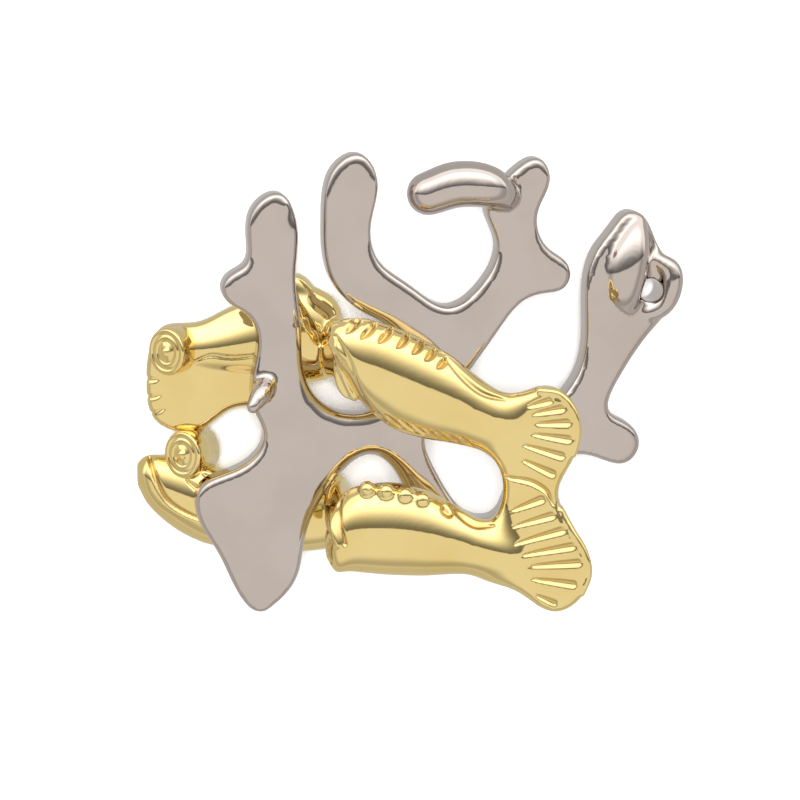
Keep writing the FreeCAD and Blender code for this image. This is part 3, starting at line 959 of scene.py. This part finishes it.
@dataclass
class FishRing:
    """The gold casting: two fish joined at their tails, with their heads joined by a flat fin."""

    tail_thickness: float = 3.0
    tail_lean: float = 11.0
    tail_rise: float = 9.6
    tail_pivot: float = 12.0
    cheek_thickness: float = 3.6
    cheek_lean: float = 9.5
    cheek_depth: float = 8.2
    cheek_pivot: float = -17.0
    rim: float = 0.9
    grain: float = 0.17
    smoothing: int = 22
    upper_lean: float = 0.5
    lower_lean: float = 0.1
    neck_radii: Point2 = (1.8, 3.6)
    neck_length: float = 14.0
    belly_ribs: int = 8
    rib_reach: float = 0.9
    folds: int = 5
    tail_root: Point2 = (4.5, 13.5)
    tail_root_foot: float = 4.0
    tail_root_passes: int = 420
    heads: Point2 = (-27.5, -9.0)
    heads_top: float = -3.0
    heads_passes: int = 60
    soft_fade: float = 2.5
    front: Point2 = (3.5, 20.0)
    behind: Point2 = (-20.0, -2.0)

    tail_outline: Line2 = (
        (6.0, 4.6), (8.6, 2.7), (11.2, 2.2), (14.6, 2.9), (16.8, 1.8), (18.1, -1.6), (17.4, -5.0),
        (15.8, -8.6), (17.2, -12.2), (19.3, -16.2), (18.9, -19.6), (15.8, -22.0), (11.0, -19.8),
        (6.5, -18.0), (6.0, -14.0), (8.4, -12.0), (9.7, -9.0), (8.8, -5.4), (6.0, -3.3), (5.0, 0.6),
    )
    cheek_outline: Line2 = (
        (-7.6, 8.2), (-8.6, 12.0), (-10.4, 13.4), (-14.2, 11.2), (-18.3, 9.4), (-21.9, 7.8), (-25.5, 7.4),
        (-26.9, 5.0), (-27.3, 0.8), (-26.5, -3.0), (-23.8, -4.5), (-20.7, -4.0), (-17.8, -1.9),
        (-13.0, -1.4), (-9.0, 1.6),
    )
    upper_fish: Sections = (
        (-8.0, 6.2, 6.6, 1.6, 0.9), (-6.8, 5.4, 6.6, 4.4, 2.8), (-4.0, 4.4, 6.9, 5.9, 3.4),
        (0.0, 3.1, 7.6, 5.9, 3.5), (4.0, 1.6, 8.3, 5.0, 3.1), (8.0, -0.4, 9.1, 4.0, 2.5),
        (12.0, -1.6, 9.9, 2.2, 1.1),
    )
    lower_fish: Sections = (
        (-9.3, -14.8, 7.0, 1.2, 0.7), (-8.5, -14.5, 7.0, 3.0, 1.7), (-7.0, -13.3, 6.6, 4.3, 2.8),
        (-3.0, -12.9, 7.0, 5.1, 3.4), (1.0, -13.2, 7.7, 4.9, 3.5), (5.0, -14.1, 8.5, 3.8, 3.0),
        (9.0, -15.4, 9.3, 3.0, 2.4), (13.0, -16.4, 10.1, 1.8, 1.1),
    )
    upper_head: Sections = (
        (-5.0, 6.0, -6.6, 1.4, 0.8), (-6.4, 6.2, -6.7, 4.4, 2.4), (-10.0, 6.6, -6.9, 5.6, 2.9),
        (-15.5, 5.8, -7.5, 4.1, 2.7), (-21.0, 5.0, -8.4, 2.7, 2.2), (-26.0, 4.8, -9.2, 1.7, 1.3),
    )
    lower_head: Sections = (
        (-4.4, -13.2, -6.6, 1.4, 0.8), (-5.8, -13.3, -6.7, 4.0, 2.4), (-10.5, -13.9, -7.0, 4.4, 2.8),
        (-16.0, -13.7, -7.5, 4.2, 3.0), (-21.3, -12.4, -8.0, 4.7, 3.1), (-25.2, -11.0, -8.9, 3.9, 2.6),
        (-27.4, -9.9, -9.2, 2.7, 1.9), (-28.4, -9.3, -9.4, 1.3, 0.9),
    )
    slots: Line2 = ((-6.3, 9.8), (-4.8, 9.2), (-3.0, 8.7), (-1.1, 8.1), (0.5, 7.4), (1.8, 6.6), (3.0, 5.7))
    beads: Line3 = ((-4.9, -8.2, 8.2), (-2.9, -8.4, 8.8), (-0.9, -8.8, 9.2), (0.9, -9.3, 9.5))
    bead_radii: Point3 = (0.95, 0.95, 1.0)
    belly: Line2 = ((-3.4, -0.3), (-0.4, -1.1), (2.6, -2.1), (5.6, -2.8))
    rib_starts: Line2 = (
        (12.2, 0.9), (12.7, 0.1), (12.9, -1.0), (12.6, -2.1), (11.7, -3.3), (11.5, -4.9), (10.4, -10.6),
        (10.7, -12.3), (10.9, -14.2), (11.5, -15.5), (12.3, -16.7), (12.7, -18.1), (13.1, -19.9),
    )
    rib_ends: Line2 = (
        (14.6, 1.6), (16.0, 0.8), (16.7, -0.8), (16.9, -2.7), (16.2, -4.6), (15.2, -6.6), (14.0, -9.1),
        (15.2, -10.9), (16.4, -12.5), (17.5, -14.3), (18.2, -16.2), (17.6, -18.7), (15.3, -20.9),
    )
    upper_gill: Line2 = (
        (-9.3, 8.3), (-8.2, 6.9), (-7.7, 5.3), (-6.8, 3.0), (-5.5, 0.7), (-4.1, -1.3),
    )
    lip: Line2 = (
        (-25.7, -5.9), (-27.0, -6.9), (-26.7, -8.9), (-25.3, -11.9), (-23.0, -13.4), (-20.5, -14.2),
    )
    notches: tuple[Line2, ...] = (
        ((-27.9, 1.6), (-26.0, 1.7)), ((-27.6, -0.5), (-25.8, -0.1)), ((-27.0, -2.4), (-25.4, -1.6)),
    )
    upper_neck: Point2 = (-6.5, 5.0)
    lower_neck: Point2 = (-5.8, -13.4)
    upper_eye: Point3 = (-22.6, 5.0, -9.6)
    lower_eye: Point3 = (-21.0, -6.6, -9.3)
    eye_turn: float = 38.0
    eye_stretch: float = 1.14
    eye_height: float = 4.4
    eye_profile: Line2 = (
        (0.0, 0.40), (0.22, 0.37), (0.42, 0.25), (0.56, 0.06), (0.62, 0.0), (0.92, 0.0), (1.0, -0.08),
        (1.08, -0.08), (1.16, 0.0), (1.6, 0.0), (1.68, -0.1), (1.76, -0.1), (1.84, 0.0), (2.1, 0.0),
        (2.24, -0.06), (2.34, -0.3), (2.34, -4.2), (1.6, -4.4), (0.0, -4.4),
    )

    def leaned_plate(
        self, outline: Line2, thickness: float, lean: float, pivot: float, rise: float
    ) -> bpy.types.Object:
        """A plate leaned back about a line up the ring.

        Args:
            outline: The plate's outline.
            thickness: Its thickness.
            lean: How far it leans, in degrees.
            pivot: Where along x the line is.
            rise: How high the plate is there.

        Returns:
            The plate.
        """
        piece = Workshop.plate(outline, thickness, self.rim)
        turn = Matrix.Rotation(math.radians(-lean), 4, "Y")
        there = Matrix.Translation((pivot, 0, rise))
        piece.data.transform(there @ turn @ Matrix.Translation((-pivot, 0, 0)))
        return piece

    def neck(self, centre: Point2) -> bpy.types.Object:
        """A round-ended oval bar through the coral."""
        bar = Workshop.added(
            bpy.ops.mesh.primitive_cylinder_add, vertices=Workshop.BAR_SIDES, radius=1, depth=self.neck_length
        )
        shape = Matrix.Diagonal((*self.neck_radii, 1, 1))
        bar.data.transform(Matrix.Translation((*centre, 0)) @ shape)
        return bar

    def eye(self, centre: Point3) -> bpy.types.Object:
        """A raised eye with rings and a domed middle, turned away from the body."""
        turn = Matrix.Rotation(math.radians(-self.eye_turn), 4, "Y")
        rise = Matrix.Translation((0, 0, self.eye_height))
        top = rise @ Matrix.Diagonal((1, self.eye_stretch, 1, 1))
        return Workshop.turned(self.eye_profile, Matrix.Translation(centre) @ turn @ top)

    def between(self, points: np.ndarray, span: Point2) -> np.ndarray:
        """How far inside a span of x each point lies.

        Args:
            points: The points, one row each.
            span: Where along x the span starts and ends.

        Returns:
            A weight for each point: 0 or less outside, and 1 or more well inside.
        """
        return np.minimum(points[:, 0] - span[0], span[1] - points[:, 0]) / self.soft_fade

    def build(self) -> bpy.types.Object:
        """Model the casting.

        Returns:
            The casting, laid on the table.
        """
        tails = self.leaned_plate(
            self.tail_outline, self.tail_thickness, self.tail_lean, self.tail_pivot, self.tail_rise
        )
        cheek = self.leaned_plate(
            self.cheek_outline, self.cheek_thickness, self.cheek_lean, self.cheek_pivot, -self.cheek_depth
        )
        parts = [
            tails,
            cheek,
            Workshop.limb(self.upper_fish, self.upper_lean),
            Workshop.limb(self.lower_fish, self.lower_lean),
            Workshop.limb(self.upper_head),
            Workshop.limb(self.lower_head),
            *(Workshop.ball(bead, self.bead_radii) for bead in self.beads),
            self.neck(self.upper_neck),
            self.neck(self.lower_neck),
        ]
        casting = Workshop.joined("fish_ring_casting", parts)
        Workshop.cast(casting, self.grain, self.smoothing)
        points = Workshop.points(casting)
        root = self.between(points, self.tail_root) * (points[:, 2] > self.tail_root_foot)
        Workshop.soften(casting, root, self.tail_root_passes)
        heads = self.between(points, self.heads) * (points[:, 2] < self.heads_top)
        Workshop.soften(casting, heads, self.heads_passes)
        relief = Relief(casting)
        relief.work(self.body_details(), *self.front)
        relief.work(self.tail_details(), *self.front)
        relief.work(self.head_details(), *self.behind)
        relief.finish()
        pieces = [casting, self.eye(self.upper_eye), self.eye(self.lower_eye)]
        casting = Workshop.joined("fish_ring_casting", pieces)
        return dressed(casting, GOLD, "fish_ring")

    def body_details(self) -> list[Groove]:
        """The gill rims, fin creases, slots, belly ribs and back pit of the two fish."""
        work = [
            Groove(self.upper_gill, 0.6, -0.35),
            Groove(((-8.3, 8.6), (-7.1, 6.4), (-6.0, 3.2), (-4.6, 0.9), (-3.2, -0.8)), 0.35, 0.16),
            Groove(((3.4, 6.3), (5.0, 4.3), (7.3, 2.4), (9.8, 1.6)), 0.5, 0.22, Ends.LEAF),
            Groove(((-7.0, -7.6), (-7.4, -8.8), (-8.5, -10.2), (-8.7, -12.0), (-8.2, -14.2)), 0.45, -0.25),
            Groove(((-6.2, -7.1), (-6.7, -8.2), (-7.8, -9.6), (-8.0, -11.6), (-7.5, -14.0)), 0.36, 0.3),
            Groove(((-8.9, -13.6), (-9.2, -15.0), (-8.9, -16.6)), 0.55, 0.45, Ends.LEAF),
            Groove(((3.4, -8.9), (4.7, -10.7), (6.6, -12.1), (8.8, -12.2)), 0.5, 0.3, Ends.LEAF),
            Groove(((3.3, -10.4), (3.7, -10.7)), 0.65, 0.5),
        ]
        for step, (x, y) in enumerate(self.slots):
            along, up = 0.95 - 0.05 * step, 0.8 - 0.06 * step
            work.append(Groove(((x - along, y - up), (x + along, y + up)), 0.55, 0.45, Ends.LEAF))
        for x, y in smooth_path(self.belly, self.belly_ribs):
            work.append(Groove(((x - 0.9, y + 0.6), (x + 0.9, y - 0.9)), 0.34, 0.22, Ends.LEAF))
        return work

    def tail_details(self) -> list[Groove]:
        """The ribs, rims and parting line of the two tails."""
        work = []
        for (x, y), (far_x, far_y) in zip(self.rib_starts, self.rib_ends):
            end = (x + self.rib_reach * (far_x - x), y + self.rib_reach * (far_y - y))
            work.append(Groove(((x, y), end), 0.6, 0.3, Ends.WEDGE, Side.BOTH))
        upper_rim = ((13.4, 2.6), (15.6, 2.2), (17.1, 0.4), (17.6, -1.9), (17.1, -4.4))
        lower_rim = ((15.9, -10.6), (17.1, -12.9), (18.5, -15.4), (18.9, -17.6), (18.1, -19.8))
        parting = ((9.9, -6.9), (12.9, -7.5), (14.2, -8.4), (15.0, -9.9))
        work += [Groove(upper_rim, 0.5, -0.28), Groove(lower_rim, 0.5, -0.28)]
        work.append(Groove(parting, 0.45, 0.3, Ends.LEAF, Side.BOTH))
        return work

    def head_details(self) -> list[Groove]:
        """The creases of the two heads, the notches of the fin and the folds by the neck."""
        work = [
            Groove(((-22.3, 3.6), (-20.4, 4.5), (-18.4, 4.3), (-14.5, 4.7)), 0.5, 0.2, Ends.LEAF),
            Groove(self.lip, 0.5, 0.4, Ends.LEAF),
            Groove(((-23.3, -9.4), (-21.6, -10.9), (-20.4, -12.4)), 0.4, 0.25, Ends.LEAF),
            Groove(((-21.4, -8.8), (-19.0, -9.9)), 0.4, 0.2, Ends.LEAF),
        ]
        for notch in self.notches:
            work.append(Groove(notch, 0.5, 0.16, Ends.LEAF, Side.BOTH))
        for step in range(self.folds):
            foot = (-10.2 + 0.9 * step, 8.6 - 1.5 * step)
            work.append(Groove(((foot[0] - 1.2, foot[1] + 3.2), foot), 0.5, 0.3, Ends.LEAF))
        return work


def dressed(casting: bpy.types.Object, finish: PlatedMetal, node: str) -> bpy.types.Object:
    """Lay a finished casting on the table, give it its finish and hand it to the frame.

    Args:
        casting: The casting, in the puzzle's frame.
        finish: Its finish.
        node: The CAD node and body that it stands for.

    Returns:
        The casting.
    """
    casting.data.transform(laid_down())
    casting.data.materials.clear()
    casting.data.materials.append(finish.material())
    Workshop.alone(casting)
    bpy.ops.object.shade_smooth()
    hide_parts(node)
    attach(casting, node)
    low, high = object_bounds()
    LOG.info("%s: %d faces, box %s %s", casting.name, len(casting.data.polygons), low, high)
    return casting


# -------------------- studio


@dataclass
class Studio:
    """The floor, the light and the camera."""

    distance: float = 0.350
    lens: float = 142.7
    sensor: float = 36.0
    clip: Point2 = (0.01, 50.0)
    turn: float = -9.0
    rise: float = 10.0
    floor_size: float = 3.0
    floor_drop: float = 0.0001
    floor_patches: float = 6.0
    floor_dark: Colour = (0.93, 0.93, 0.93, 1)
    floor_light: Colour = (0.95, 0.95, 0.95, 1)
    floor_roughness: float = 0.9
    horizon: float = 0.02
    card: float = 0.90
    card_colour: Colour = (1.0, 0.985, 0.965, 1)
    card_edge: Point2 = (-3.5, -1.5)
    screen_colour: Colour = (1.0, 1.0, 1.0, 1)
    screen_span: Point2 = (-2.0, 62.0)
    screen_foot: float = 0.20
    screen_rise: float = 2.4
    gap_top: Point2 = (0.62, 0.30)
    gap_foot: Point2 = (0.0, 0.2)
    gap_depth: float = 0.42
    below_span: Point2 = (0.2, -0.05)
    below: float = 0.64
    lamp_reach: float = 2.6
    lamp_size: float = 0.25
    lamp_power: float = 8.5

    def floor(self) -> None:
        """A plain pale floor under the puzzle, which the metal doesn't mirror."""
        foot = (0, 0, -self.floor_drop)
        floor = Workshop.added(bpy.ops.mesh.primitive_plane_add, size=self.floor_size, location=foot)
        floor.name = "floor"
        material = bpy.data.materials.new("pale_floor")
        material.use_nodes = True
        board = Board(material.node_tree)
        where = board.node("ShaderNodeTexCoord").outputs["Object"]
        patch = board.noise(where, self.floor_patches, 2.0)
        colour = board.mixed(patch, self.floor_dark, self.floor_light)
        board.surface({"Base Color": colour, "Roughness": self.floor_roughness})
        floor.data.materials.append(material)
        floor.visible_glossy = False
        floor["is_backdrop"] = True

    def sky(self) -> None:
        """Light from a pale tent: a card overhead, a graded screen beyond it, and a dimmer rim."""
        world = bpy.data.worlds.new("tent")
        bpy.context.scene.world = world
        world.use_nodes = True
        board = Board(world.node_tree)
        way = board.node("ShaderNodeTexCoord").outputs["Generated"]
        parts = board.node("ShaderNodeSeparateXYZ", {0: way})
        y, z = (Term(board, parts.outputs[axis]) for axis in (1, 2))
        forward = y.arctan2(z.highest(self.horizon))
        edge = forward.ramp(*(math.radians(angle) for angle in self.card_edge))
        screen = forward.ramp(*(math.radians(angle) for angle in self.screen_span))
        graded = self.screen_foot + self.screen_rise * screen
        above = self.card * (1 - edge) + graded * edge
        gap = z.ramp(*self.gap_top) * z.ramp(*self.gap_foot)
        low = z.ramp(*self.below_span)
        light = above * (1 - gap * self.gap_depth) * (1 - low) + self.below * low
        colour = board.mixed(edge, self.card_colour, self.screen_colour)
        shade = board.node("ShaderNodeBackground", {"Color": colour, "Strength": light})
        board.node("ShaderNodeOutputWorld", {"Surface": shade.outputs[0]})

    def lamp(self) -> None:
        """A soft square lamp behind the camera, which fills the shadows and isn't mirrored."""
        place = self.lamp_reach * bpy.context.scene.camera.location
        lamp = Workshop.added(bpy.ops.object.light_add, type="AREA", location=place)
        lamp.name = "fill_by_the_camera"
        lamp.data.size = self.lamp_size
        lamp.data.energy = self.lamp_power
        lamp.rotation_euler = (-place).to_track_quat("-Z", "Y").to_euler()
        lamp.visible_glossy = False

    def camera(self) -> None:
        """A camera that looks at the puzzle from its front, a little from the left and above."""
        turn = math.radians(self.turn)
        rise = math.radians(self.rise)
        right = Vector((math.cos(turn), 0, -math.sin(turn)))
        back = Vector((math.sin(turn) * math.cos(rise), math.sin(rise), math.cos(turn) * math.cos(rise)))
        axes = Matrix((right, back.cross(right), back)).transposed()
        tilt = Matrix.Rotation(TABLE_TILT, 3, "Y")
        place = laid_down().translation + self.distance * (tilt @ back)
        camera = Workshop.added(bpy.ops.object.camera_add, location=place)
        camera.matrix_world = Matrix.Translation(place) @ (tilt @ axes).to_4x4()
        camera.data.lens = self.lens
        camera.data.sensor_width = self.sensor
        camera.data.clip_start, camera.data.clip_end = self.clip
        bpy.context.scene.camera = camera

    def build(self) -> None:
        """Set up the whole studio."""
        self.floor()
        self.sky()
        self.camera()
        self.lamp()
        bpy.context.scene.view_settings.view_transform = "Standard"


def main() -> None:
    """Build the studio and both castings."""
    logging.basicConfig(level=logging.INFO, format="%(name)s: %(message)s")
    Studio().build()
    for casting in (Coral(), FishRing()):
        casting.build()


if __name__ == "__main__":
    main()
